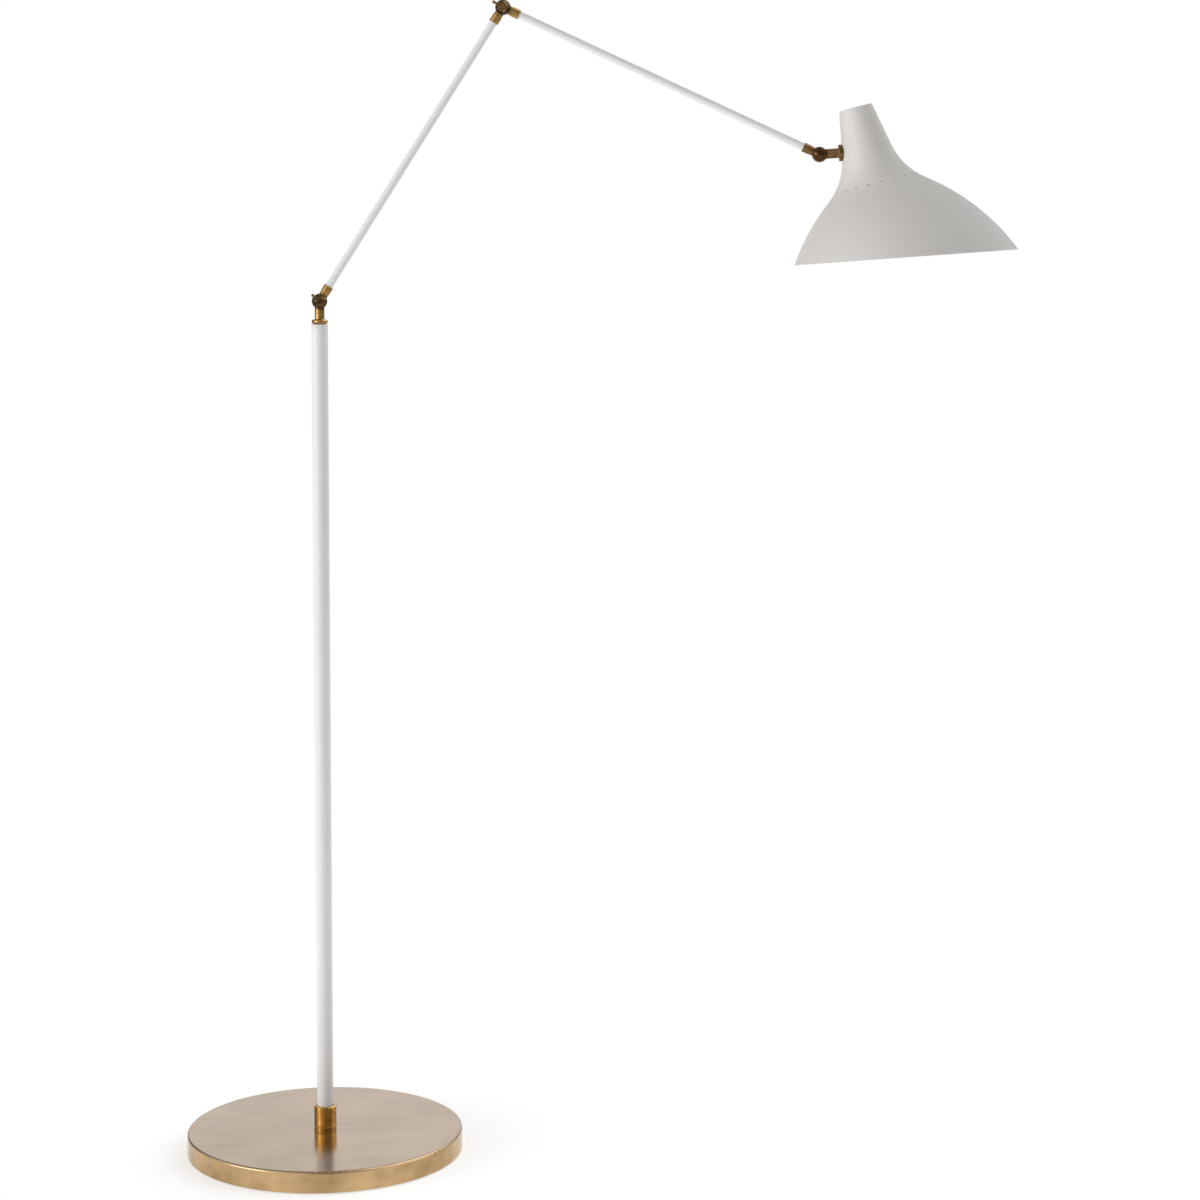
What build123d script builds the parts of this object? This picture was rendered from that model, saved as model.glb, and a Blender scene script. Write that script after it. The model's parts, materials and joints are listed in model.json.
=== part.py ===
"""Adjustable arm floor lamp, in millimetres, +Z up.

The origin is the centre of the underside, on the floor. Both arms and the shade lie in the XZ plane and
reach towards +X. The front of the lamp faces -Y. A lean is an angle from vertical towards +X, in degrees.
"""

from build123d import *

import os
from math import asin, atan2, cos, degrees, pi, radians, sin, sqrt, tan

# Stand
base_r = 152.5
base_top = 24.0
base_edge_r = 2.5
cover_wall = 1.2
cover_bottom = 1.0
pad_r = 149.0
pad_thickness = 2.0
weight_r = 150.6
recess_r = 135.0
recess_roof = 11.0
boss_r = 30.0
pocket_r = 13.0
pocket_roof = 16.0
pole_r = 9.0
pole_wall = 1.0
pole_top = 919.0
collar_r = 12.25
collar_top = 49.6
groove_z = 27.6
groove_depth = 0.3

# Cord inlet and wiring
inlet_z = 7.6
inlet_bore_r = 3.4
gland_barrel_r = 4.2
gland_flange_r = 6.2
gland_inner_y = 138.0
gland_flange_thickness = 2.2
lead_r = 1.3
lead_z = 6.2
lead_bend = 6.0
lead_offset = 1.75
terminal_y = 62.0
terminal_screw_r = 1.2
block_bottom = 2.8
clamp_y = 105.0
clamp_bottom = 2.6
clamp_slot_bottom = 4.0
screw_hole_r = 1.6

# Threads and clearances
nipple_r = 5.0
nipple_bore_r = 3.5
screw_r = 2.0
running = 0.05
fixed_fit = 0.02
split_gap = 0.1
ball_gap = 0.3

# Swivel on top of the pole
spigot_r = 4.5
spigot_bottom = 882.0
flange_r = 8.8
flange_bottom = 919.3
flange_thickness = 5.0
flange_edge_r = 2.0
stem_r = 5.3

# Arms
shoulder_z = 944.0
lower_reach = 376.5
upper_reach = 379.0
lower_lean = 32.3
upper_lean = 114.75
tube_r = 4.1
tube_wall = 1.0
ferrule_r = 5.25
ferrule_neck_r = 4.8
ferrule_start = 11.0
ferrule_end = 19.4
socket_depth = 8.4
ball_r = 8.5

# Knuckle hardware
spot_depth = 5.0
head_r = 6.7
head_edge = 5.5
chamber_r = 6.4
chamber_depth = 3.3
stem_start = 6.6
knuckle_boss_r = 3.2
slot_width = 2.0
slot_depth = 1.3
washer_thickness = 0.8
hub_height = 6.6
lever_reach = 10.6
lever_root_r = 1.9
lever_tip_r = 1.2
lever_knob_r = 1.8

# Shade, from the closed top of its neck down its own axis
shade_lean = 165.0
neck_top_r = 18.2
neck_slope = 10.8
neck_length = 48.6
waist_r = 74.1
shoulder_slope = 52.5
bell_r = 238.0
bell_sweep = 37.0
shade_wall = 1.0
neck_edge_r = 1.2
rim_lean = 175.9
rim_drop = 169.0
vent_count = 20
vent_r = 1.25
vent_drop = 85.0
vent_start = 3.0
stem_drop = 43.5
ball_to_neck = 24.5
shade_stem_r = 5.35
shade_flange_r = 9.1
shade_flange_thickness = 3.6
tail_r = 4.2
tail_bore_r = 3.15

# Lampholder and bulb, as distances down the shade's axis
bracket_thickness = 1.5
bracket_width = 12.0
bracket_top = 9.0
holder_r = 16.2
holder_joint = 27.0
holder_mouth = 58.0
holder_floor = 24.0
cap_start = 28.0
cap_end = 55.0
bulb_r = 30.0
bulb_centre = 104.0
bulb_neck_r = 11.9
bulb_neck_end = 56.0
glass_wall = 0.8

FRONT = -1
REAR = 1
LOW = (Align.CENTER, Align.CENTER, Align.MIN)


def direction(lean):
    """Unit vector in the XZ plane that leans from vertical towards +X."""
    return Vector(sin(radians(lean)), 0, cos(radians(lean)))


def leaning(origin, lean):
    """Plane whose z direction leans from vertical and whose x direction is +Y."""
    return Plane(origin=origin, x_dir=(0, 1, 0), z_dir=direction(lean))


def across(origin, side):
    """Plane at a pivot whose z direction is the pivot's axis, towards the front or the rear."""
    return Plane(origin=origin, x_dir=(1, 0, 0), z_dir=(0, side, 0))


def section_plane(place):
    """Plane for a half section: x is the radius and y runs along the place's z direction."""
    return Plane(origin=place.origin, x_dir=place.x_dir, z_dir=-place.y_dir)


def turn(place, outline, mode=Mode.ADD):
    """Revolve a closed outline of (radius, height) points about a place's z direction."""
    with BuildSketch(section_plane(place)) as half_section:
        with BuildLine():
            Polyline(*outline, close=True)
        make_face()
    revolve(half_section.sketch, axis=Axis(place.origin, place.z_dir), mode=mode)


def ring(place, inner, outer, low, high, mode=Mode.ADD):
    """A plain ring or, with no inner radius, a disc."""
    turn(place, [(inner, low), (outer, low), (outer, high), (inner, high)], mode)


def hexagon(place, across_flats, bore, low, high):
    """A hexagon nut with a plain bore."""
    level = place.offset(low)
    with BuildSketch(level) as flats:
        RegularPolygon(across_flats / 2, 6, major_radius=False)
        Circle(bore, mode=Mode.SUBTRACT)
    extrude(flats.sketch, amount=high - low)


def write(piece, label):
    """Name a finished piece and write it."""
    piece.part.label = label
    export_step(piece.part, f"parts/{label}.step")


os.makedirs("parts", exist_ok=True)

# Pivots, and the frame of the shade, worked out from the leans and reaches

floor = Plane.XY
block_screws = [(-8, terminal_y), (8, terminal_y)]
clamp_screws = [(-10, clamp_y), (10, clamp_y)]
screw_places = block_screws + clamp_screws
terminal_places = [(x, terminal_y + y) for x in (-4.4, 0, 4.4) for y in (-3.4, 3.4)]

shoulder = Vector(0, 0, shoulder_z)
elbow = shoulder + direction(lower_lean) * lower_reach
shade_pivot = elbow + direction(upper_lean) * upper_reach

stem_lean = shade_lean - 90 + neck_slope
stem_wall_r = neck_top_r + stem_drop * tan(radians(neck_slope))
shade_top = (
    shade_pivot
    + direction(stem_lean) * ball_to_neck
    + direction(shade_lean - 90) * stem_wall_r
    - direction(shade_lean) * stem_drop
)
shade_place = leaning(shade_top, shade_lean)
stem_place = leaning(shade_pivot, stem_lean)


# ---- Stand ----

with BuildPart() as base_pad:
    Cylinder(pad_r, pad_thickness, align=LOW)
write(base_pad, "base_pad")

with BuildPart() as base_weight:
    roof = base_top - cover_wall
    turn(
        floor,
        [
            (pocket_r, pad_thickness),
            (boss_r, pad_thickness),
            (boss_r, recess_roof),
            (recess_r, recess_roof),
            (recess_r, pad_thickness),
            (weight_r, pad_thickness),
            (weight_r, roof - 3),
            (weight_r - 3, roof),
            (nipple_r + 0.3, roof),
            (nipple_r + 0.3, pocket_roof),
            (pocket_r, pocket_roof),
        ],
    )
    with Locations((0, boss_r - 8, pad_thickness)):
        Box(7, boss_r - pocket_r + 10, 7, align=LOW, mode=Mode.SUBTRACT)
    ring(across((0, 0, inlet_z), REAR), 0, gland_barrel_r + 0.2, recess_r - 3, base_r, Mode.SUBTRACT)
    with Locations(*[(x, y, recess_roof) for x, y in screw_places]):
        Cylinder(screw_hole_r, 6, align=LOW, mode=Mode.SUBTRACT)
write(base_weight, "base_weight")

with BuildPart() as base_cover:
    with Locations((0, 0, cover_bottom)):
        Cylinder(base_r, base_top - cover_bottom, align=LOW)
    fillet(base_cover.edges().group_by(Axis.Z)[-1], base_edge_r)
    offset(amount=-cover_wall, openings=base_cover.faces().sort_by(Axis.Z)[0])
    Cylinder(nipple_r + 0.3, 2 * base_top, mode=Mode.SUBTRACT)
    ring(
        across((0, 0, inlet_z), REAR),
        0,
        gland_barrel_r + running,
        base_r - 3,
        base_r + 3,
        Mode.SUBTRACT,
    )
write(base_cover, "base_cover")

with BuildPart() as cord_gland:
    flange_y = base_r + 0.05
    gland_end = flange_y + gland_flange_thickness
    turn(
        across((0, 0, inlet_z), REAR),
        [
            (inlet_bore_r, gland_inner_y),
            (gland_barrel_r, gland_inner_y),
            (gland_barrel_r, flange_y),
            (gland_flange_r, flange_y),
            (gland_flange_r, gland_end - 1.0),
            (gland_flange_r - 1.0, gland_end),
            (inlet_bore_r, gland_end),
        ],
    )
write(cord_gland, "cord_gland")

with BuildPart() as terminal_block:
    block_height = recess_roof - block_bottom
    with Locations((0, terminal_y, block_bottom)):
        Box(22, 12, block_height, align=LOW)
    fillet(terminal_block.edges().filter_by(Axis.Z), 1.0)
    for x in (-4.4, 0, 4.4):
        with Locations(Plane(origin=(x, terminal_y, lead_z), z_dir=(0, 1, 0))):
            Cylinder(1.5, 14, mode=Mode.SUBTRACT)
    with Locations(*[(x, y, block_bottom) for x, y in block_screws]):
        Cylinder(screw_hole_r, block_height, align=LOW, mode=Mode.SUBTRACT)
    with Locations(*[(x, y, block_bottom) for x, y in terminal_places]):
        Cylinder(terminal_screw_r + running, 1.9, align=LOW, mode=Mode.SUBTRACT)
write(terminal_block, "terminal_block")

with BuildPart() as terminal_screws:
    with Locations(*[(x, y, block_bottom + 0.1) for x, y in terminal_places]):
        Cylinder(terminal_screw_r, 1.7, align=LOW)
        Box(3, 0.5, 0.5, align=LOW, mode=Mode.SUBTRACT)
write(terminal_screws, "terminal_screws")

with BuildPart() as cord_clamp:
    with Locations((0, clamp_y, clamp_bottom)):
        Box(28, 9, recess_roof - clamp_bottom, align=LOW)
    with Locations((0, clamp_y, clamp_slot_bottom)):
        Box(8.4, 9, recess_roof - clamp_slot_bottom, align=LOW, mode=Mode.SUBTRACT)
    with Locations(*[(x, y, clamp_bottom) for x, y in clamp_screws]):
        Cylinder(screw_hole_r, recess_roof, align=LOW, mode=Mode.SUBTRACT)
    for end in (0, -1):
        fillet(cord_clamp.edges().filter_by(Axis.Z).group_by(Axis.X)[end], 1.0)
write(cord_clamp, "cord_clamp")

with BuildPart() as base_screws:
    with Locations(*[(x, y, block_bottom + 0.1) for x, y in screw_places]):
        Cylinder(screw_hole_r - 0.1, 13, align=LOW)
        Box(4, 0.6, 0.7, align=LOW, mode=Mode.SUBTRACT)
write(base_screws, "base_screws")

with BuildPart() as base_nipple:
    ring(floor, nipple_bore_r, nipple_r, 9.0, 46.0)
write(base_nipple, "base_nipple")

with BuildPart() as base_washer:
    ring(floor, nipple_r + 0.2, pocket_r - 1.5, pocket_roof - 1.6, pocket_roof)
write(base_washer, "base_washer")

with BuildPart() as base_nut:
    hexagon(floor, 14, nipple_r + fixed_fit, pocket_roof - 6.6, pocket_roof - 1.6)
write(base_nut, "base_nut")

with BuildPart() as base_collar:
    recess = collar_top - 1.6
    turn(
        floor,
        [
            (pole_r + running, base_top),
            (collar_r, base_top),
            (collar_r, groove_z - groove_depth),
            (collar_r - groove_depth, groove_z),
            (collar_r, groove_z + groove_depth),
            (collar_r, collar_top - 0.9),
            (collar_r - 0.9, collar_top),
            (pole_r + 1.0, collar_top),
            (pole_r + 1.0, recess),
            (pole_r + running, recess),
        ],
    )
write(base_collar, "base_collar")

pole_bore_r = pole_r - pole_wall

with BuildPart() as pole_tube:
    ring(floor, pole_bore_r, pole_r, base_top, pole_top)
write(pole_tube, "pole_tube")

with BuildPart() as pole_foot_insert:
    ring(floor, nipple_r + fixed_fit, pole_bore_r - fixed_fit, base_top + 0.5, base_top + 24)
write(pole_foot_insert, "pole_foot_insert")

insert_bottom = pole_top - 26.0

with BuildPart() as pole_head_insert:
    ring(floor, spigot_r + running, pole_bore_r - fixed_fit, insert_bottom, pole_top - 0.3)
write(pole_head_insert, "pole_head_insert")

lead_top = spigot_bottom - 4.0
lead_start = terminal_y - 6.0

with BuildPart() as pole_lead:
    with BuildLine() as lead_route:
        FilletPolyline((0, lead_start, lead_z), (0, 0, lead_z), (0, 0, lead_top), radius=lead_bend)
    with BuildSketch(Plane(origin=(0, lead_start, lead_z), z_dir=(0, -1, 0))):
        Circle(lead_r)
    sweep(path=lead_route.wire())
write(pole_lead, "pole_lead")


# ---- Knuckles: a ball split across its pivot, each half on its own stem ----


def half_ball(pivot, lean, side, lead_depth):
    """Give the stem in progress its half of the ball, with the wire chamber and the screw's bore.

    The other half turns inside a clearance that is cut from the stem's far side.
    """
    near = across(pivot, side)
    with Locations(across(pivot, -side)):
        Sphere(ball_r + ball_gap, 0, 90, align=None, mode=Mode.SUBTRACT)
    with Locations(near):
        Sphere(ball_r, 0, 90, align=None)
        Cylinder(ball_r, split_gap, align=LOW, mode=Mode.SUBTRACT)
        Cylinder(chamber_r, chamber_depth, align=LOW, mode=Mode.SUBTRACT)
    ring(near, 0, knuckle_boss_r, split_gap, chamber_depth + 0.5)
    ring(near, 0, screw_r + running, 0, ball_r, Mode.SUBTRACT)
    ring(near, 0, ball_r, spot_depth, ball_r + 1, Mode.SUBTRACT)
    with Locations(leaning(pivot, lean)):
        with Locations((side * lead_offset, 0, chamber_r - 1.0)):
            Cylinder(lead_r + 0.1, lead_depth, align=LOW, mode=Mode.SUBTRACT)


def make_screw(label, pivot, side, length):
    """A clamp screw: a slotted dome head that completes the ball, on a plain shank."""
    place = across(pivot, side)
    crown = ball_r + 0.3
    with BuildPart() as screw:
        with BuildSketch(section_plane(place)):
            with BuildLine():
                Line((0, crown), (0, -length))
                Polyline(
                    (0, -length),
                    (screw_r - 0.4, -length),
                    (screw_r, -length + 0.4),
                    (screw_r, spot_depth),
                    (head_r, spot_depth),
                    (head_r, head_edge),
                )
                TangentArc((0, crown), (head_r, head_edge), tangent=(1, 0))
            make_face()
        revolve(axis=Axis(place.origin, place.z_dir))
        with BuildSketch(place.offset(crown - slot_depth)) as slot:
            with Locations(Rotation(0, 0, side * 45)):
                Rectangle(2 * ball_r, slot_width)
        extrude(slot.sketch, amount=slot_depth + 1, mode=Mode.SUBTRACT)
    write(screw, label)


def make_washer(label, pivot, side):
    """A plain washer on the nut's side of a knuckle."""
    seat = spot_depth + running
    with BuildPart() as washer:
        ring(across(pivot, side), screw_r + running, 5.6, seat, seat + washer_thickness)
    write(washer, label)


def make_lever_nut(label, pivot, side, lever_angle):
    """A clamp nut with one short lever that ends in a small knob.

    The lever's angle is seen from the front, from +X towards +Z.
    """
    seat = spot_depth + washer_thickness + 3 * running
    place = across(pivot, side)
    outwards = Vector(cos(radians(lever_angle)), 0, sin(radians(lever_angle)))
    root = pivot + place.z_dir * (seat + 3.0) + outwards * 4.3
    tip = pivot + place.z_dir * (seat + 5.2) + outwards * lever_reach
    with BuildPart() as nut:
        turn(
            place,
            [
                (screw_r + running, seat),
                (6.0, seat),
                (6.2, seat + 0.4),
                (5.6, seat + hub_height - 1.4),
                (4.4, seat + hub_height),
                (screw_r + running, seat + hub_height),
            ],
        )
        lever_place = Plane(origin=root, z_dir=tip - root)
        lever_length = (tip - root).length
        knob_start = lever_length - sqrt(lever_knob_r**2 - lever_tip_r**2)
        with BuildSketch(section_plane(lever_place)):
            with BuildLine():
                Polyline((0, 0), (lever_root_r, 0), (lever_tip_r, knob_start))
                ThreePointArc(
                    (lever_tip_r, knob_start),
                    (lever_knob_r, lever_length),
                    (0, lever_length + lever_knob_r),
                )
                Line((0, lever_length + lever_knob_r), (0, 0))
            make_face()
        revolve(axis=Axis(root, lever_place.z_dir))
    write(nut, label)


def make_arm_end(label, pivot, lean, side):
    """An arm's end piece: half a ball and a ferrule that the tube is fixed in."""
    place = leaning(pivot, lean)
    with BuildPart() as arm_end:
        turn(
            place,
            [
                (0, stem_start),
                (ferrule_neck_r, stem_start),
                (ferrule_neck_r, ferrule_start - 0.6),
                (ferrule_r, ferrule_start),
                (ferrule_r, ferrule_end - 1.2),
                (ferrule_r + 0.25, ferrule_end - 1.0),
                (ferrule_r + 0.25, ferrule_end - 0.4),
                (ferrule_r - 0.3, ferrule_end),
                (0, ferrule_end),
            ],
        )
        half_ball(pivot, lean, side, ferrule_end)
        ring(place, 0, tube_r + running, ferrule_end - socket_depth, ferrule_end + 1, Mode.SUBTRACT)
    write(arm_end, label)


def make_arm(name, start, end, lean, side):
    """One arm: two end pieces, the tube between them and the lead inside."""
    reach = (end - start).length
    place = leaning(start, lean)
    make_arm_end(f"{name}_arm_foot", start, lean, side)
    make_arm_end(f"{name}_arm_head", end, lean + 180, side)
    tube_low = ferrule_end - socket_depth
    with BuildPart() as tube:
        ring(place, tube_r - tube_wall, tube_r, tube_low, reach - tube_low)
    write(tube, f"{name}_arm_tube")
    lead_low = knuckle_boss_r + 1.4
    with BuildPart() as lead:
        with Locations(place):
            with Locations((side * lead_offset, 0, lead_low)):
                Cylinder(lead_r, reach - 2 * lead_low, align=LOW)
    write(lead, f"{name}_arm_lead")


# ---- Swivel on the pole ----

with BuildPart() as pole_swivel:
    flange_top = flange_bottom + flange_thickness
    hang = leaning(shoulder, 180)
    to_flange = shoulder_z - flange_top
    to_joint = shoulder_z - flange_bottom
    to_end = shoulder_z - spigot_bottom
    turn(
        hang,
        [
            (0, stem_start),
            (stem_r, stem_start),
            (stem_r, to_flange - 0.6),
            (stem_r + 0.8, to_flange),
            (flange_r, to_flange),
            (flange_r, to_joint),
            (spigot_r, to_joint),
            (spigot_r, to_end),
            (0, to_end),
        ],
    )
    flange_edges = pole_swivel.edges().filter_by(lambda edge: abs(edge.length - 2 * pi * flange_r) < 0.1)
    fillet(flange_edges, flange_edge_r)
    half_ball(shoulder, 180, FRONT, 12.0)
    ring(hang, 0, spigot_r - 1.3, to_flange - 4.0, to_end + 1, Mode.SUBTRACT)
write(pole_swivel, "pole_swivel")

with BuildPart() as swivel_washer:
    ring(floor, spigot_r + running, 7.2, insert_bottom - 1.2, insert_bottom - 0.2)
write(swivel_washer, "swivel_washer")

with BuildPart() as swivel_nut:
    hexagon(floor, 12.5, spigot_r + fixed_fit, insert_bottom - 7.0, insert_bottom - 1.2)
write(swivel_nut, "swivel_nut")

with BuildPart() as swivel_lead:
    with Locations((0, FRONT * lead_offset, spigot_bottom + 2)):
        Cylinder(lead_r, shoulder_z - spigot_bottom - 2 - knuckle_boss_r - 1.4, align=LOW)
write(swivel_lead, "swivel_lead")

nut_screw_length = spot_depth + washer_thickness + hub_height + 1.4

make_screw("lower_knuckle_screw", shoulder, FRONT, nut_screw_length)
make_washer("lower_knuckle_washer", shoulder, REAR)
make_lever_nut("lower_lever_nut", shoulder, REAR, 143)


# ---- Arms ----

make_arm("lower", shoulder, elbow, lower_lean, REAR)
make_screw("elbow_screw", elbow, REAR, nut_screw_length)
make_washer("elbow_washer", elbow, FRONT)
make_lever_nut("elbow_lever_nut", elbow, FRONT, 154)

make_arm("upper", elbow, shade_pivot, upper_lean, FRONT)
make_screw("shade_knuckle_screw", shade_pivot, FRONT, spot_depth + 5.0)
make_washer("shade_knuckle_washer", shade_pivot, REAR)

with BuildPart() as shade_knuckle_nut:
    seat = spot_depth + washer_thickness + running
    dome_place = across(shade_pivot, REAR)
    with BuildSketch(dome_place.offset(seat)) as nut_flats:
        RegularPolygon(4.6, 6, major_radius=False)
    extrude(nut_flats.sketch, amount=3.4)
    turn(
        dome_place,
        [
            (0, seat + 3.3),
            (4.4, seat + 3.3),
            (3.9, seat + 5.0),
            (2.4, seat + 6.2),
            (0, seat + 6.6),
        ],
    )
    bore_end = spot_depth + 5.2
    ring(dome_place, 0, screw_r + fixed_fit, seat - 1, bore_end, Mode.SUBTRACT)
write(shade_knuckle_nut, "shade_knuckle_nut")


# ---- Shade ----


def shade_envelope(inset, mode=Mode.ADD):
    """The shade filled solid, as a straight neck, a hollow waist arc and a full bell arc.

    An inset gives the parallel surface that lies that far inside.
    """
    slope = radians(neck_slope)
    start = Vector(neck_top_r - inset * cos(slope) + (inset - inset * sin(slope)) * tan(slope), inset)
    bend = Vector(
        neck_top_r + neck_length * sin(slope) - inset * cos(slope),
        neck_length * cos(slope) + inset * sin(slope),
    )
    turn_out = shoulder_slope - neck_slope
    with BuildSketch(section_plane(shade_place)) as half_section:
        with BuildLine():
            Line((0, inset), start)
            neck = Line(start, bend)
            waist = JernArc(start=neck @ 1, tangent=neck % 1, radius=waist_r + inset, arc_size=-turn_out)
            bell = JernArc(start=waist @ 1, tangent=waist % 1, radius=bell_r - inset, arc_size=bell_sweep)
            Polyline(bell @ 1, (0, (bell @ 1).Y), (0, inset))
        make_face()
    revolve(half_section.sketch, axis=Axis(shade_place.origin, shade_place.z_dir), mode=mode)


def waist_slope(drop):
    """Slope of the waist's wall at a distance down the axis, in degrees."""
    slope = radians(neck_slope)
    return degrees(asin(sin(slope) + (drop - neck_length * cos(slope)) / waist_r))


def waist_radius(drop):
    """Outer radius of the waist at a distance down the axis."""
    slope = radians(neck_slope)
    centre = neck_top_r + neck_length * sin(slope) + waist_r * cos(slope)
    return centre - waist_r * cos(radians(waist_slope(drop)))


with BuildPart() as shade_shell:
    shade_envelope(0)
    top_edges = shade_shell.edges().filter_by(lambda edge: abs(edge.length - 2 * pi * neck_top_r) < 0.1)
    fillet(top_edges, neck_edge_r)
    shade_envelope(shade_wall, Mode.SUBTRACT)
    rim_plane = leaning(shade_top + direction(shade_lean) * rim_drop, rim_lean)
    split(bisect_by=rim_plane, keep=Keep.BOTTOM)
    ring(stem_place, 0, tail_r + 0.1, ball_to_neck - 4, ball_to_neck + 6, Mode.SUBTRACT)
    for vent in range(vent_count):
        turned = vent_start + 360 / vent_count * vent
        tilt = waist_slope(vent_drop)
        outwards = (
            shade_place.x_dir * -cos(radians(turned)) * cos(radians(tilt))
            + shade_place.y_dir * sin(radians(turned)) * cos(radians(tilt))
            - shade_place.z_dir * sin(radians(tilt))
        )
        centre = (
            shade_top
            + shade_place.z_dir * vent_drop
            + shade_place.x_dir * -cos(radians(turned)) * waist_radius(vent_drop)
            + shade_place.y_dir * sin(radians(turned)) * waist_radius(vent_drop)
        )
        with Locations(Plane(origin=centre, z_dir=outwards)):
            Cylinder(vent_r, 8 * shade_wall, mode=Mode.SUBTRACT)
write(shade_shell, "shade_shell")

flange_near = ball_to_neck - shade_flange_thickness
bracket_near = ball_to_neck + shade_wall + 1.9
washer_near = bracket_near + bracket_thickness
nut_near = washer_near + washer_thickness
tail_end = nut_near + 3.4

with BuildPart() as shade_stem:
    turn(
        stem_place,
        [
            (0, stem_start),
            (shade_stem_r, stem_start),
            (shade_stem_r, flange_near - 0.8),
            (shade_stem_r + 0.8, flange_near),
            (shade_flange_r - 0.5, flange_near),
            (shade_flange_r, flange_near + 0.5),
            (shade_flange_r, ball_to_neck + 3),
            (0, ball_to_neck + 3),
        ],
    )
    shade_envelope(-fixed_fit, Mode.SUBTRACT)
    ring(stem_place, 0, tail_r, ball_to_neck - 2, tail_end)
    half_ball(shade_pivot, stem_lean, REAR, 12.0)
    ring(stem_place, 0, tail_bore_r, 15.0, tail_end + 1, Mode.SUBTRACT)
write(shade_stem, "shade_stem")

with BuildPart() as shade_stem_lead:
    with Locations(stem_place):
        with Locations((REAR * lead_offset, 0, knuckle_boss_r + 1.4)):
            Cylinder(lead_r, tail_end - knuckle_boss_r - 1.4, align=LOW)
write(shade_stem_lead, "shade_stem_lead")

with BuildPart() as shade_stem_saddle:
    ring(stem_place, tail_r + running, 7.5, ball_to_neck, bracket_near)
    shade_envelope(shade_wall + fixed_fit, Mode.INTERSECT)
write(shade_stem_saddle, "shade_stem_saddle")

with BuildPart() as shade_stem_washer:
    ring(stem_place, tail_r + running, 6.6, washer_near, nut_near)
write(shade_stem_washer, "shade_stem_washer")

with BuildPart() as shade_stem_nut:
    hexagon(stem_place, 12, tail_r + fixed_fit, nut_near, nut_near + 2.8)
write(shade_stem_nut, "shade_stem_nut")


# ---- Lampholder and bulb, inside the neck ----

# In this plane x is square to the shade's axis, y runs down the axis and z is +Y.
side_view = Plane(origin=shade_top, x_dir=shade_place.y_dir, z_dir=(0, 1, 0))

with BuildPart() as holder_bracket:
    slope = radians(neck_slope)
    inward = Vector(cos(slope), sin(slope))
    along_wall = Vector(-sin(slope), cos(slope))
    wall_point = Vector(-stem_wall_r, stem_drop)
    tab_centre = wall_point + inward * (bracket_near + bracket_thickness / 2 - ball_to_neck)
    rise = (tab_centre.Y - bracket_top) / cos(slope)
    with BuildSketch(side_view):
        with BuildLine():
            FilletPolyline(
                tab_centre + along_wall * 8,
                tab_centre - along_wall * rise,
                (9.0, bracket_top),
                radius=2.0,
            )
        trace(line_width=bracket_thickness)
    extrude(amount=bracket_width / 2, both=True)
    ring(stem_place, 0, tail_r + 0.1, bracket_near - 3, washer_near + 3, Mode.SUBTRACT)
    ring(shade_place, 0, nipple_r + 0.1, bracket_top - 3, bracket_top + 3, Mode.SUBTRACT)
write(holder_bracket, "holder_bracket")

bracket_upper = bracket_top - bracket_thickness / 2
bracket_lower = bracket_top + bracket_thickness / 2

with BuildPart() as holder_nipple:
    ring(shade_place, nipple_bore_r, nipple_r, bracket_upper - 3.8, bracket_lower + 6)
write(holder_nipple, "holder_nipple")

with BuildPart() as holder_nipple_nut:
    hexagon(shade_place, 13, nipple_r + fixed_fit, bracket_upper - 3.2, bracket_upper)
write(holder_nipple_nut, "holder_nipple_nut")

with BuildPart() as lampholder_cap:
    turn(
        shade_place,
        [
            (nipple_r + fixed_fit, bracket_lower),
            (12.5, bracket_lower),
            (holder_r, bracket_lower + 4),
            (holder_r, holder_joint),
            (holder_r - 1.3, holder_joint),
            (holder_r - 1.3, bracket_lower + 4.8),
            (11.8, bracket_lower + 1.4),
            (nipple_r + fixed_fit, bracket_lower + 1.4),
        ],
    )
write(lampholder_cap, "lampholder_cap")

with BuildPart() as lampholder_body:
    turn(
        shade_place,
        [
            (2.2, holder_floor - 4),
            (holder_r - 1.4, holder_floor - 4),
            (holder_r - 1.4, holder_joint + 0.05),
            (holder_r, holder_joint + 0.05),
            (holder_r, holder_mouth - 1.0),
            (holder_r - 1.0, holder_mouth),
            (13.9, holder_mouth),
            (13.9, holder_floor),
            (2.2, holder_floor),
        ],
    )
write(lampholder_body, "lampholder_body")

with BuildPart() as lampholder_sleeve:
    turn(
        shade_place,
        [
            (13.4, cap_start),
            (13.4, holder_mouth - 2),
            (13.85, holder_mouth - 2),
            (13.85, holder_floor + 0.1),
            (8.0, holder_floor + 0.1),
            (8.0, holder_floor + 0.6),
            (13.4, holder_floor + 0.6),
        ],
    )
write(lampholder_sleeve, "lampholder_sleeve")

contact_face = holder_floor + 1.9

with BuildPart() as lampholder_contact:
    turn(
        shade_place,
        [
            (0, holder_floor - 4),
            (2.1, holder_floor - 4),
            (2.1, holder_floor),
            (4, holder_floor),
            (3, contact_face),
            (0, contact_face),
        ],
    )
write(lampholder_contact, "lampholder_contact")

with BuildPart() as bulb_contact:
    turn(
        shade_place,
        [
            (0, contact_face),
            (4.2, contact_face),
            (4.8, contact_face + 0.8),
            (9.5, cap_start + 0.6),
            (0, cap_start + 0.6),
        ],
    )
write(bulb_contact, "bulb_contact")

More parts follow.
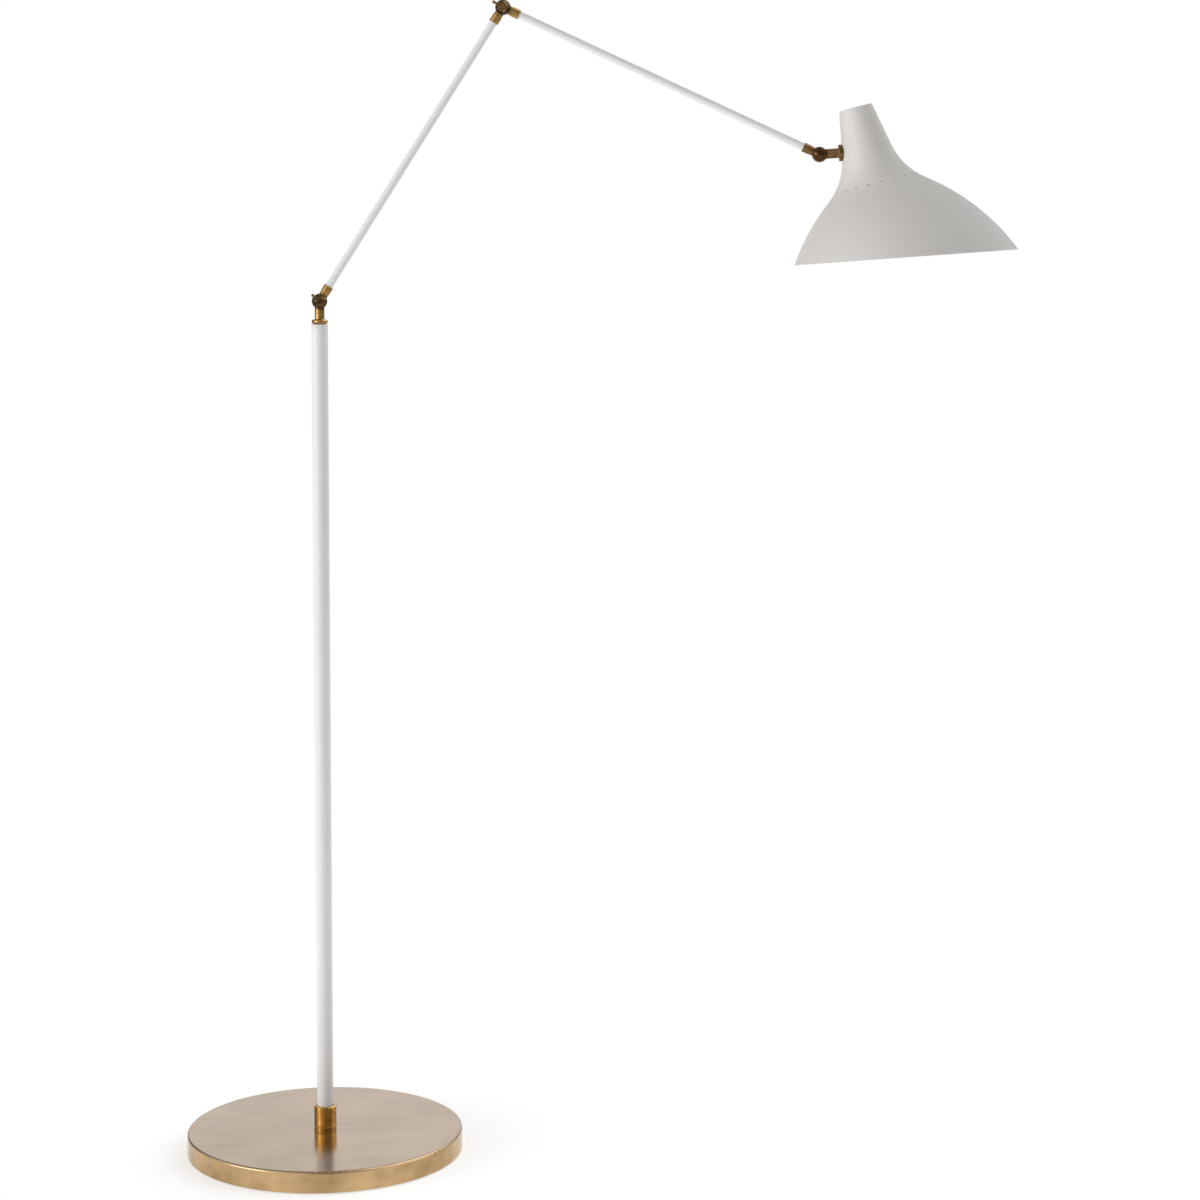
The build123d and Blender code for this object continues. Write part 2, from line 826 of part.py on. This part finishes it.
with BuildPart() as bulb_cap:
    thread_pitch = 3.63
    crest_r = 13.15
    root_r = 12.45
    crests = 6
    cap_outline = [(9.6, cap_start), (12.0, cap_start + 1.6)]
    for crest in range(crests):
        low = cap_start + 2.6 + crest * thread_pitch
        cap_outline.append((root_r, low))
        cap_outline.append((crest_r, low + thread_pitch / 2))
    cap_outline.append((root_r, cap_start + 2.6 + crests * thread_pitch))
    cap_outline.append((root_r, cap_end))
    cap_outline.append((bulb_neck_r + 0.05, cap_end))
    cap_outline.append((bulb_neck_r + 0.05, cap_start + 3.4))
    cap_outline.append((9.6, cap_start + 0.7))
    turn(shade_place, cap_outline)
write(bulb_cap, "bulb_cap")


def bulb_envelope(inset, mode=Mode.ADD):
    """The bulb's glass filled solid: a neck, a hollow shoulder arc and a sphere tangent to it."""
    drop = bulb_centre - bulb_neck_end
    shoulder_r = (drop**2 + bulb_neck_r**2 - bulb_r**2) / (2 * (bulb_r - bulb_neck_r))
    swing = degrees(atan2(drop, bulb_neck_r + shoulder_r))
    foot = cap_end - 6 if inset == 0 else cap_end - 7
    with BuildSketch(section_plane(shade_place)) as half_section:
        with BuildLine():
            neck = Line((bulb_neck_r - inset, foot), (bulb_neck_r - inset, bulb_neck_end))
            flare = JernArc(start=neck @ 1, tangent=(0, 1), radius=shoulder_r + inset, arc_size=-swing)
            JernArc(start=flare @ 1, tangent=flare % 1, radius=bulb_r - inset, arc_size=swing + 90)
            Polyline((0, bulb_centre + bulb_r - inset), (0, foot), neck @ 0)
        make_face()
    revolve(half_section.sketch, axis=Axis(shade_place.origin, shade_place.z_dir), mode=mode)


with BuildPart() as bulb_glass:
    bulb_envelope(0)
    bulb_envelope(glass_wall, Mode.SUBTRACT)
write(bulb_glass, "bulb_glass")
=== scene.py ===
import json
from math import cos, pi, radians, sin

import bpy
from mathutils import Matrix, Vector


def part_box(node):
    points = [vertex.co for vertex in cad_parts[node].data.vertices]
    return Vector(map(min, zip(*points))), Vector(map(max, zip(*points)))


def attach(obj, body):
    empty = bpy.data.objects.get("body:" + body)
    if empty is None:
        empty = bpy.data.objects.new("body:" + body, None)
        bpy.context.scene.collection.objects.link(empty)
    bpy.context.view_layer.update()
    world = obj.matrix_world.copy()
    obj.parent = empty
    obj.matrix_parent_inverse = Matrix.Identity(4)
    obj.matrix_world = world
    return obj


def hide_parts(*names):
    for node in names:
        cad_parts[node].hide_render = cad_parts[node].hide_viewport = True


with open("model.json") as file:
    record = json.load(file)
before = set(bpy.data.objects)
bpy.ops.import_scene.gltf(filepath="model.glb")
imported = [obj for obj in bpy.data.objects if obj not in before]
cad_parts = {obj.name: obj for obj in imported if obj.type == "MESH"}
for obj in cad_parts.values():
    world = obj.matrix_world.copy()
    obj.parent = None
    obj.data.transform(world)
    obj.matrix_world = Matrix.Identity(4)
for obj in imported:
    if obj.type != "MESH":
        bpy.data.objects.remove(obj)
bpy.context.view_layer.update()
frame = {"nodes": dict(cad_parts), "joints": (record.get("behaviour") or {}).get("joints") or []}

# Everything is in metres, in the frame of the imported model: +Z up, the origin on the floor under the pole.
# The lamp's arms and shade reach towards +X and its front faces -Y.

# Camera: its pitch is in degrees below level, its lens and sensor in millimetres
CAMERA_PLACE = (0.3064, -2.954, 0.968)
CAMERA_PITCH = 3.998
CAMERA_LENS = 80.97
CAMERA_SHIFT = -0.11
SENSOR = 36.0

# Floor: it changes from near to far over these distances from the pole
FLOOR_DROP = 0.0004
FLOOR_SIZE = 60.0
FLOOR_NEAR = 0.4
FLOOR_FAR = 1.6
FLOOR_GLOW = 0.57
FLOOR_REFLECTED = 0.76

# The room's soft walls, each round one way out from the lamp. A wall fades in where the cosine of the angle
# to that way is its edge, and is at its full level where the cosine is its middle.
ROOM = {
    "backdrop": dict(towards=(0, 1, 0.12), edge=0.8, middle=1.0, level=0.86),
    "left_wall": dict(towards=(-0.87, -0.45, 0.1), edge=0.3, middle=0.95, level=0.88),
    "left_window": dict(towards=(-0.86, -0.5, 0.05), edge=0.93, middle=0.975, level=5.0),
    "high_right": dict(towards=(0.75, 0.3, 0.65), edge=0.7, middle=0.97, level=1.6),
    "front": dict(towards=(0, -1, 0), edge=0.0, middle=1.0, level=0.08),
    "ceiling": dict(towards=(0, 0, 1), edge=0.3, middle=1.0, level=0.03),
}
# What glossy surfaces mirror above the horizon besides the walls
SKY = dict(towards=(0, 0, 1), edge=0.02, middle=0.36, level=0.42)

# Tubes: the wall is the CAD tubes' own, a ring of faces is about a step long, and the ends are softened
TUBE_WALL = 0.001
TUBE_EDGE = 0.0003
TUBE_STEP = 0.008
TUBE_SIDES = 72
SHARP_ANGLE = 50

# The three knuckles, from the lowest up
PIVOTS = [Vector(joint["pos_m"]) for joint in frame["joints"] if joint["name"].endswith("_tilt")]

# Brass: how far the dark of a knuckle goes from its pivot, and how wide its rubbed edges and dirty gaps are
KNUCKLE_REACH = 0.0092
KNUCKLE_FADE = 0.002
WORN_EDGE = 0.0005
GAP_REACH = 0.0015

# The height of the base's rounded edge, over which its side becomes its top
BASE_EDGE = 0.0025


# ---- Shader building blocks ----


class Shader:
    """A Principled material whose patterns are laid out in the lamp's own frame."""

    def __init__(self, name, **constants):
        self.material = bpy.data.materials.new(name)
        self.material.use_nodes = True
        self.tree = self.material.node_tree
        self.bsdf = self.tree.nodes["Principled BSDF"]
        self.place = self.node("ShaderNodeTexCoord").outputs["Object"]
        for socket, value in constants.items():
            self.bsdf.inputs[socket.replace("_", " ")].default_value = value

    def node(self, kind, links=None, **settings):
        """Add a node, link or set its inputs, and set its own properties."""
        made = self.tree.nodes.new(kind)
        for name, value in settings.items():
            setattr(made, name, value)
        for name, value in (links or {}).items():
            self.feed(made.inputs[name], value)
        return made

    def feed(self, socket, value):
        """Link another node's output to a socket, or set the socket to a constant."""
        if isinstance(value, bpy.types.NodeSocket):
            self.tree.links.new(value, socket)
        else:
            socket.default_value = value

    def to_shader(self, output, socket):
        self.tree.links.new(output, self.bsdf.inputs[socket])

    def noise(self, scale, detail=2.0, stretch=None, roughness=0.5):
        """Noise with a number of features a metre, which may be drawn out along an axis."""
        place = self.place
        if stretch:
            place = self.node("ShaderNodeMapping", {"Vector": place, "Scale": stretch}).outputs[0]
        links = {"Vector": place, "Scale": scale, "Detail": detail, "Roughness": roughness}
        return self.node("ShaderNodeTexNoise", links).outputs[0]

    def ramp(self, value, low, high, to_low=0.0, to_high=1.0):
        """A value stretched from one range to another, and held inside it."""
        links = {"Value": value, "From Min": low, "From Max": high, "To Min": to_low, "To Max": to_high}
        return self.node("ShaderNodeMapRange", links).outputs[0]

    def mix(self, factor, first, second):
        """A colour from the first, at a factor of 0, to the second, at 1."""
        made = self.node("ShaderNodeMix", data_type="RGBA")
        # The node has inputs of one name for each data type, so its colour inputs go by number
        for index, value in ((0, factor), (6, first), (7, second)):
            self.feed(made.inputs[index], value)
        return made.outputs[2]

    def math(self, operation, first, second):
        return self.node("ShaderNodeMath", {0: first, 1: second}, operation=operation).outputs[0]

    def vector_math(self, operation, *vectors):
        """A number worked out from one or two vectors."""
        made = self.node("ShaderNodeVectorMath", dict(enumerate(vectors)), operation=operation)
        return made.outputs["Value"]

    def open_space(self, reach):
        """1 in the open and 0 deep in a gap or a slot."""
        return self.node("ShaderNodeAmbientOcclusion", {"Distance": reach}, samples=8).outputs["AO"]

    def bump(self, height, distance):
        links = {"Height": height, "Distance": distance, "Strength": 1.0}
        self.to_shader(self.node("ShaderNodeBump", links).outputs[0], "Normal")


def tint(red, green, blue):
    return (red, green, blue, 1.0)


# ---- Materials ----


def brass(name, polished, worn, aged, gap, roughness, depth):
    """Hand-finished brass, darker round the knuckles, rubbed bright on its edges and dirty in its gaps."""
    shader = Shader(name, Metallic=1.0)
    clouds = shader.ramp(shader.noise(scale=110.0, detail=4.0, roughness=0.6), low=0.34, high=0.66)
    colour = shader.mix(clouds, worn, polished)
    for pivot in PIVOTS:
        away = shader.vector_math("DISTANCE", shader.place, pivot)
        outside = shader.ramp(away, low=KNUCKLE_REACH, high=KNUCKLE_REACH + KNUCKLE_FADE)
        colour = shader.mix(outside, shader.mix(clouds, gap, aged), colour)
    rounded = shader.node("ShaderNodeBevel", {"Radius": WORN_EDGE}, samples=4).outputs[0]
    straight = shader.node("ShaderNodeNewGeometry").outputs["Normal"]
    flatness = shader.vector_math("DOT_PRODUCT", rounded, straight)
    rubbed = shader.ramp(flatness, low=0.8, high=0.99, to_low=0.5, to_high=0.0)
    colour = shader.mix(rubbed, colour, polished)
    clean = shader.ramp(shader.open_space(GAP_REACH), low=0.35, high=0.8)
    shader.to_shader(shader.mix(clean, gap, colour), "Base Color")
    lines = shader.noise(scale=2600.0, detail=2.0, stretch=(1.0, 1.0, 0.12))
    shader.to_shader(shader.ramp(clouds, 0, 1, to_low=roughness + 0.1, to_high=roughness), "Roughness")
    shader.bump(lines, depth)
    return shader.material


def paint(name, colour, shade, roughness, grain):
    """Sprayed paint: an even colour with the faint unevenness and skin of a sprayed coat."""
    shader = Shader(name, Roughness=roughness)
    clouds = shader.ramp(shader.noise(scale=9.0, detail=3.0), low=0.3, high=0.7)
    shader.to_shader(shader.mix(clouds, shade, colour), "Base Color")
    shader.bump(shader.noise(scale=600.0), grain)
    return shader.material


def plain(name, colour, second, scale, roughness, depth, **constants):
    """A moulded, cast or drawn material with a slight grain."""
    shader = Shader(name, **constants)
    grain = shader.noise(scale, detail=3.0)
    spots = shader.ramp(grain, low=0.35, high=0.65)
    shader.to_shader(shader.mix(spots, second, colour), "Base Color")
    shader.to_shader(shader.ramp(spots, 0, 1, to_low=roughness, to_high=roughness + 0.12), "Roughness")
    shader.bump(grain, depth)
    return shader.material


def base_brass():
    """The spun cover of the base: turning marks round the pole, patina with painted highlights, and a greyer
    top as painted reflection.
    """
    shader = Shader("base_cover_brass", Metallic=1.0)
    clouds = shader.ramp(shader.noise(scale=13.0, detail=4.0, roughness=0.6), low=0.32, high=0.68)
    streaks = shader.ramp(shader.noise(scale=60.0, detail=3.0, stretch=(0.35, 1.0, 1.0)), low=0.3, high=0.7)
    patina_and_painted_highlights = shader.math("ADD", shader.math("MULTIPLY", clouds, 0.65), shader.math("MULTIPLY", streaks, 0.35))
    split = shader.node("ShaderNodeSeparateXYZ", {"Vector": shader.place})
    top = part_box("base_cover")[1].z
    level = shader.ramp(split.outputs[2], low=top - BASE_EDGE, high=top)
    # On the side, the lighter patches of patina are placed to give painted highlights; the rest is random
    # patina tone.
    side = shader.mix(patina_and_painted_highlights, tint(0.66, 0.46, 0.24), tint(0.33, 0.2, 0.09))
    # The top is tinted greyer than the side of the same brass: painted reflection of the pale room.
    greyer_top_painted_reflection = shader.mix(patina_and_painted_highlights, tint(0.31, 0.23, 0.158), tint(0.39, 0.295, 0.21))
    shader.to_shader(shader.mix(level, side, greyer_top_painted_reflection), "Base Color")
    shader.to_shader(shader.ramp(patina_and_painted_highlights, 0, 1, to_low=0.2, to_high=0.14), "Roughness")
    across = shader.node("ShaderNodeCombineXYZ", {"X": split.outputs[0], "Y": split.outputs[1]}).outputs[0]
    radius = shader.vector_math("LENGTH", across)
    along = shader.node("ShaderNodeCombineXYZ", {"X": radius, "Y": split.outputs[2]}).outputs[0]
    marks = shader.node("ShaderNodeTexNoise", {"Vector": along, "Scale": 3000.0, "Detail": 1.0}).outputs[0]
    shader.bump(marks, 0.000002)
    return shader.material


def opal_glass():
    """The bulb's white glass, which lets a little light into its surface."""
    shader = Shader("opal_glass", Roughness=0.25, Subsurface_Weight=0.3, Subsurface_Scale=0.002)
    shader.bsdf.inputs["Subsurface Radius"].default_value = (1.0, 1.0, 1.0)
    clouds = shader.noise(scale=30.0)
    shader.to_shader(shader.mix(clouds, tint(0.9, 0.89, 0.86), tint(0.94, 0.93, 0.9)), "Base Color")
    return shader.material


MATERIALS = {
    "base_cover": base_brass(),
    "collar_brass": brass(
        "collar_brass",
        polished=tint(0.66, 0.38, 0.1),
        worn=tint(0.36, 0.18, 0.034),
        aged=tint(0.3, 0.15, 0.03),
        gap=tint(0.07, 0.026, 0.005),
        roughness=0.2,
        depth=0.000004,
    ),
    "fitting_brass": brass(
        "fitting_brass",
        polished=tint(0.52, 0.32, 0.115),
        worn=tint(0.25, 0.135, 0.04),
        aged=tint(0.13, 0.074, 0.03),
        gap=tint(0.03, 0.014, 0.005),
        roughness=0.18,
        depth=0.000004,
    ),
    "aged_brass": brass(
        "aged_brass",
        polished=tint(0.31, 0.18, 0.075),
        worn=tint(0.12, 0.065, 0.026),
        aged=tint(0.16, 0.092, 0.039),
        gap=tint(0.035, 0.016, 0.006),
        roughness=0.22,
        depth=0.000006,
    ),
    "white_paint": paint(
        "white_paint",
        colour=tint(0.9, 0.885, 0.875),
        shade=tint(0.87, 0.855, 0.845),
        roughness=0.38,
        grain=0.000004,
    ),
    "shade_paint": paint(
        "shade_paint",
        colour=tint(0.74, 0.715, 0.69),
        shade=tint(0.715, 0.69, 0.665),
        roughness=0.5,
        grain=0.000006,
    ),
    "iron": plain(
        "cast_iron",
        colour=tint(0.1, 0.1, 0.105),
        second=tint(0.05, 0.05, 0.055),
        scale=700.0,
        roughness=0.6,
        depth=0.00015,
        Metallic=0.6,
    ),
    "rubber": plain(
        "pad_rubber",
        colour=tint(0.03, 0.03, 0.03),
        second=tint(0.02, 0.02, 0.02),
        scale=900.0,
        roughness=0.7,
        depth=0.00004,
    ),
    "plastic": plain(
        "black_plastic",
        colour=tint(0.03, 0.03, 0.03),
        second=tint(0.022, 0.022, 0.022),
        scale=1500.0,
        roughness=0.4,
        depth=0.00001,
    ),
    "steel": plain(
        "zinc_steel",
        colour=tint(0.6, 0.6, 0.6),
        second=tint(0.5, 0.5, 0.48),
        scale=400.0,
        roughness=0.25,
        depth=0.00001,
        Metallic=1.0,
    ),
    "sheath": plain(
        "lead_sheath",
        colour=tint(0.75, 0.74, 0.7),
        second=tint(0.7, 0.69, 0.65),
        scale=500.0,
        roughness=0.4,
        depth=0.00001,
    ),
    "phenolic": plain(
        "phenolic",
        colour=tint(0.035, 0.03, 0.028),
        second=tint(0.025, 0.022, 0.02),
        scale=600.0,
        roughness=0.28,
        depth=0.000006,
    ),
    "contact": plain(
        "contact_brass",
        colour=tint(0.75, 0.58, 0.28),
        second=tint(0.65, 0.48, 0.22),
        scale=500.0,
        roughness=0.25,
        depth=0.00001,
        Metallic=1.0,
    ),
    "aluminium": plain(
        "lamp_cap",
        colour=tint(0.72, 0.72, 0.73),
        second=tint(0.62, 0.62, 0.63),
        scale=500.0,
        roughness=0.25,
        depth=0.00001,
        Metallic=1.0,
    ),
    "glass": opal_glass(),
}

NODE_FINISH = {
    "base_cover": ["base_cover"],
    "collar_brass": ["base_collar"],
    "fitting_brass": [
        "pole_swivel",
        "lower_arm_foot",
        "lower_arm_head",
        "upper_arm_foot",
    ],
    "aged_brass": [
        "cord_gland",
        "upper_arm_head",
        "lower_knuckle_screw",
        "lower_knuckle_washer",
        "lower_lever_nut",
        "elbow_screw",
        "elbow_washer",
        "elbow_lever_nut",
        "shade_knuckle_screw",
        "shade_knuckle_washer",
        "shade_knuckle_nut",
        "shade_stem",
    ],
    "white_paint": ["pole_tube", "lower_arm_tube", "upper_arm_tube"],
    "shade_paint": ["shade_shell"],
    "iron": ["base_weight"],
    "rubber": ["base_pad"],
    "plastic": ["terminal_block", "cord_clamp"],
    "steel": [
        "terminal_screws",
        "base_screws",
        "base_nipple",
        "base_washer",
        "base_nut",
        "pole_foot_insert",
        "pole_head_insert",
        "swivel_washer",
        "swivel_nut",
        "shade_stem_saddle",
        "shade_stem_washer",
        "shade_stem_nut",
        "holder_bracket",
        "holder_nipple",
        "holder_nipple_nut",
    ],
    "sheath": ["pole_lead", "swivel_lead", "lower_arm_lead", "upper_arm_lead", "shade_stem_lead"],
    "phenolic": ["lampholder_cap", "lampholder_body"],
    "contact": ["lampholder_sleeve", "lampholder_contact"],
    "aluminium": ["bulb_cap", "bulb_contact"],
    "glass": ["bulb_glass"],
}


def finish_nodes():
    """Give every CAD node its material, and stop if one has none."""
    for finish, names in NODE_FINISH.items():
        for name in names:
            for slot in frame["nodes"][name].material_slots:
                slot.material = MATERIALS[finish]
    finished = {name for names in NODE_FINISH.values() for name in names}
    missing = sorted(set(frame["nodes"]) - finished)
    assert not missing, missing


# ---- Tubes ----


def lathe(name, outline, sides, place):
    """A closed outline of (radius, height) points, turned round its axis and set in its place."""
    verts = []
    for radius, height in outline:
        for side in range(sides):
            angle = 2 * pi * side / sides
            verts.append(place @ Vector((radius * cos(angle), radius * sin(angle), height)))
    faces = []
    for ring in range(len(outline)):
        this = ring * sides
        following = (ring + 1) % len(outline) * sides
        for side in range(sides):
            beside = (side + 1) % sides
            faces.append((this + side, this + beside, following + beside, following + side))
    mesh = bpy.data.meshes.new(name)
    mesh.from_pydata(verts, [], faces)
    mesh.shade_smooth()
    mesh.set_sharp_from_angle(angle=radians(SHARP_ANGLE))
    made = bpy.data.objects.new(name, mesh)
    bpy.context.scene.collection.objects.link(made)
    return made


def tube(node, body, axis, finish):
    """A round tube with softened ends in place of a CAD one, as rings of even faces."""
    low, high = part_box(node)
    size = high - low
    # The tube lies in the XZ plane, so its box is as wide along Y as the tube itself. Along the frame axis
    # nearest to the tube's own, the box holds the tube's length and the slant of its two ends.
    radius = size.y / 2
    along = max(range(3), key=lambda index: abs(axis[index]))
    across = (1 - axis[along] ** 2) ** 0.5
    length = (size[along] - 2 * radius * across) / abs(axis[along])
    bore = radius - TUBE_WALL
    steps = round(length / TUBE_STEP)
    half = length / 2
    reach = half - TUBE_EDGE
    outline = [(bore, -reach), (bore + TUBE_EDGE, -half), (radius - TUBE_EDGE, -half)]
    outline += [(radius, -reach + 2 * reach * step / steps) for step in range(steps + 1)]
    outline += [(radius - TUBE_EDGE, half), (bore + TUBE_EDGE, half), (bore, reach)]
    place = Matrix.Translation((low + high) / 2) @ axis.to_track_quat("Z", "Y").to_matrix().to_4x4()
    made = lathe(node + "_painted", outline, TUBE_SIDES, place)
    made.data.materials.append(MATERIALS[finish])
    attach(made, body)
    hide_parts(node)


def make_tubes():
    shoulder, elbow, shade_pivot = PIVOTS
    tube("pole_tube", "stand", Vector((0, 0, 1)), "white_paint")
    tube("lower_arm_tube", "lower_arm", (elbow - shoulder).normalized(), "white_paint")
    tube("upper_arm_tube", "upper_arm", (shade_pivot - elbow).normalized(), "white_paint")


# ---- Camera, floor and light ----


def make_camera():
    data = bpy.data.cameras.new("camera")
    data.sensor_width = SENSOR
    data.lens = CAMERA_LENS
    data.shift_y = CAMERA_SHIFT
    camera = bpy.data.objects.new("camera", data)
    camera.location = CAMERA_PLACE
    camera.rotation_euler = (radians(90 - CAMERA_PITCH), 0, 0)
    bpy.context.scene.collection.objects.link(camera)
    bpy.context.scene.camera = camera


def floor_material():
    """Pale near the lamp, where it takes the shadows, and plain white further off, so no horizon shows."""
    floor = Shader("floor", Base_Color=tint(0.8, 0.8, 0.8), Roughness=0.9, Specular_IOR_Level=0.1)
    distance = floor.vector_math("LENGTH", floor.place)
    links = {"Value": distance, "From Min": FLOOR_NEAR, "From Max": FLOOR_FAR}
    far = floor.node("ShaderNodeMapRange", links, interpolation_type="SMOOTHSTEP").outputs[0]
    seen = floor.node("ShaderNodeLightPath").outputs["Is Camera Ray"]
    strength = floor.ramp(seen, 0, 1, to_low=FLOOR_REFLECTED, to_high=1.0)
    white = floor.node("ShaderNodeEmission", {"Strength": strength}).outputs[0]
    glow = floor.node("ShaderNodeEmission", {"Strength": FLOOR_GLOW}).outputs[0]
    near = floor.node("ShaderNodeAddShader", {0: floor.bsdf.outputs[0], 1: glow}).outputs[0]
    above = floor.node("ShaderNodeMixShader", {0: far, 1: near, 2: white}).outputs[0]
    # From below, the floor isn't there, so that the underside of the base shows
    below = floor.node("ShaderNodeBsdfTransparent").outputs[0]
    underside = floor.node("ShaderNodeNewGeometry").outputs["Backfacing"]
    whole = floor.node("ShaderNodeMixShader", {0: underside, 1: above, 2: below}).outputs[0]
    floor.tree.links.new(whole, floor.tree.nodes["Material Output"].inputs["Surface"])
    # The floor's glow reaches the lamp without being sampled as a lamp, which would only add noise
    floor.material.cycles.emission_sampling = "NONE"
    return floor.material


def make_floor():
    half = FLOOR_SIZE / 2
    mesh = bpy.data.meshes.new("floor")
    corners = [(-half, -half, 0), (half, -half, 0), (half, half, 0), (-half, half, 0)]
    mesh.from_pydata(corners, [], [(0, 1, 2, 3)])
    mesh.materials.append(floor_material())
    floor = bpy.data.objects.new("floor", mesh)
    floor.location = (0, 0, -FLOOR_DROP)
    bpy.context.scene.collection.objects.link(floor)


def make_world():
    """A white background that is seen, and a room of soft bright walls that lights the lamp."""
    world = bpy.data.worlds.new("studio")
    bpy.context.scene.world = world
    world.use_nodes = True
    nodes, links = world.node_tree.nodes, world.node_tree.links
    way = nodes.new("ShaderNodeTexCoord").outputs["Generated"]
    rays = nodes.new("ShaderNodeLightPath").outputs

    def wall(towards, edge, middle, level):
        facing = nodes.new("ShaderNodeVectorMath")
        facing.operation = "DOT_PRODUCT"
        facing.inputs[1].default_value = Vector(towards).normalized()
        links.new(way, facing.inputs[0])
        made = nodes.new("ShaderNodeMapRange")
        made.interpolation_type = "SMOOTHSTEP"
        for socket, value in (("From Min", edge), ("From Max", middle), ("To Max", level)):
            made.inputs[socket].default_value = value
        links.new(facing.outputs["Value"], made.inputs["Value"])
        return made.outputs[0]

    def combine(operation, first, second):
        made = nodes.new("ShaderNodeMath")
        made.operation = operation
        links.new(first, made.inputs[0])
        links.new(second, made.inputs[1])
        return made.outputs[0]

    total = combine("MULTIPLY", wall(**SKY), rays["Is Glossy Ray"])
    for place in ROOM.values():
        total = combine("ADD", total, wall(**place))
    reflected = nodes["Background"]
    links.new(total, reflected.inputs["Color"])
    white = nodes.new("ShaderNodeBackground")
    white.inputs["Color"].default_value = tint(1, 1, 1)
    shown = nodes.new("ShaderNodeMixShader")
    links.new(rays["Is Camera Ray"], shown.inputs[0])
    links.new(reflected.outputs[0], shown.inputs[1])
    links.new(white.outputs[0], shown.inputs[2])
    links.new(shown.outputs[0], nodes["World Output"].inputs["Surface"])


make_tubes()
finish_nodes()
make_camera()
make_floor()
make_world()

bpy.context.scene.view_settings.view_transform = "Standard"
